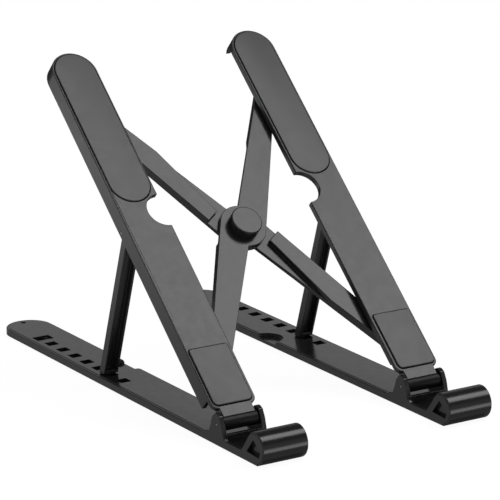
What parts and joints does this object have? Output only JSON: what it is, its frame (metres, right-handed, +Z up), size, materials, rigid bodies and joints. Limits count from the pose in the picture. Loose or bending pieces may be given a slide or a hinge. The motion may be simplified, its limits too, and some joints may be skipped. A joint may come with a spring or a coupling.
{
  "type": "laptop stand",
  "caption": "Folding X-frame laptop stand: two base rails with front hooks, two padded arms on props, and crossed bars that fold it flat and narrow.",
  "frame": {"origin": "bottom centre of the opened stand, on the table", "axes": "+X to the right, +Y from the hooks to the rear ends of the rails, +Z up"},
  "size_m": [0.1294, 0.2554, 0.1567],
  "materials": {
    "rail_plastic": "satin, black",
    "arm_plastic": "satin, black",
    "bar_plastic": "satin, black",
    "prop_plastic": "satin, black",
    "pad_rubber": "satin black silicone",
    "hook_rubber": "semi-gloss black silicone",
    "foot_rubber": "matte silicone",
    "steel": "satin",
    "sleeve_plastic": "polished black",
    "washer_plastic": "smooth"
  },
  "bodies": {
    "left_rail": {"left_rail": "rail_plastic", "left_hook_sleeve": "hook_rubber", "left_front_foot": "foot_rubber", "left_rear_foot": "foot_rubber", "left_trough_pad": "hook_rubber", "left_hinge_pin": "steel"},
    "left_arm": {"left_arm": "arm_plastic", "left_hinge_sleeve": "sleeve_plastic", "left_lower_pad": "pad_rubber", "left_upper_pad": "pad_rubber", "left_prop_pin": "steel", "left_bar_pivot_pin": "steel"},
    "left_prop": {"left_prop": "prop_plastic"},
    "right_rail": {"right_rail": "rail_plastic", "right_hook_sleeve": "hook_rubber", "right_front_foot": "foot_rubber", "right_rear_foot": "foot_rubber", "right_trough_pad": "hook_rubber", "right_hinge_pin": "steel"},
    "right_arm": {"right_arm": "arm_plastic", "right_hinge_sleeve": "sleeve_plastic", "right_lower_pad": "pad_rubber", "right_upper_pad": "pad_rubber", "right_prop_pin": "steel", "right_bar_pivot_pin": "steel"},
    "right_prop": {"right_prop": "prop_plastic"},
    "bar_a": {"bar_a": "bar_plastic", "hub_washer": "washer_plastic", "left_slide_pin": "steel"},
    "bar_b": {"bar_b": "bar_plastic", "hub_cap": "bar_plastic", "hub_rivet": "steel", "right_slide_pin": "steel"}
  },
  "joints": [
    {"name": "tilt", "type": "hinge", "parent": "left_rail", "child": "left_arm", "pos_m": [-0.0525, -0.08675, 0.0102], "axis": [1, 0, 0], "range_deg": [-29.26, 1.48]},
    {"name": "left_prop_swing", "type": "hinge", "parent": "left_arm", "child": "left_prop", "pos_m": [-0.058, -0.00066, 0.08261], "axis": [1, 0, 0], "range_deg": [-5.87, 114.2]},
    {"name": "spread", "type": "hinge", "parent": "left_arm", "child": "bar_b", "pos_m": [-0.0485, -0.06302, 0.02796], "axis": [0, -0.6672, 0.7449], "range_deg": [0, 27.75]},
    {"name": "hub_pivot", "type": "hinge", "parent": "bar_b", "child": "bar_a", "pos_m": [0, -0.00781, 0.07741], "axis": [0, -0.6672, 0.7449], "range_deg": [-55.6, 0]},
    {"name": "right_arm_pivot", "type": "hinge", "parent": "bar_a", "child": "right_arm", "pos_m": [0.0485, -0.06302, 0.02796], "axis": [0, -0.6672, 0.7449], "range_deg": [0, 27.85]},
    {"name": "right_prop_swing", "type": "hinge", "parent": "right_arm", "child": "right_prop", "pos_m": [0.058, -0.00066, 0.08261], "axis": [1, 0, 0], "range_deg": [-5.87, 114.2]},
    {"name": "right_rail_tilt", "type": "hinge", "parent": "right_arm", "child": "right_rail", "pos_m": [0.0525, -0.08675, 0.0102], "axis": [1, 0, 0], "range_deg": [-1.58, 29.36]}
  ],
  "couplings": [
    {"joint": "left_prop_swing", "follows": "tilt", "ratio": -3.9},
    {"joint": "right_prop_swing", "follows": "tilt", "ratio": -3.9},
    {"joint": "right_rail_tilt", "follows": "tilt", "ratio": -1},
    {"joint": "hub_pivot", "follows": "spread", "ratio": -2},
    {"joint": "right_arm_pivot", "follows": "spread", "ratio": 1}
  ]
}
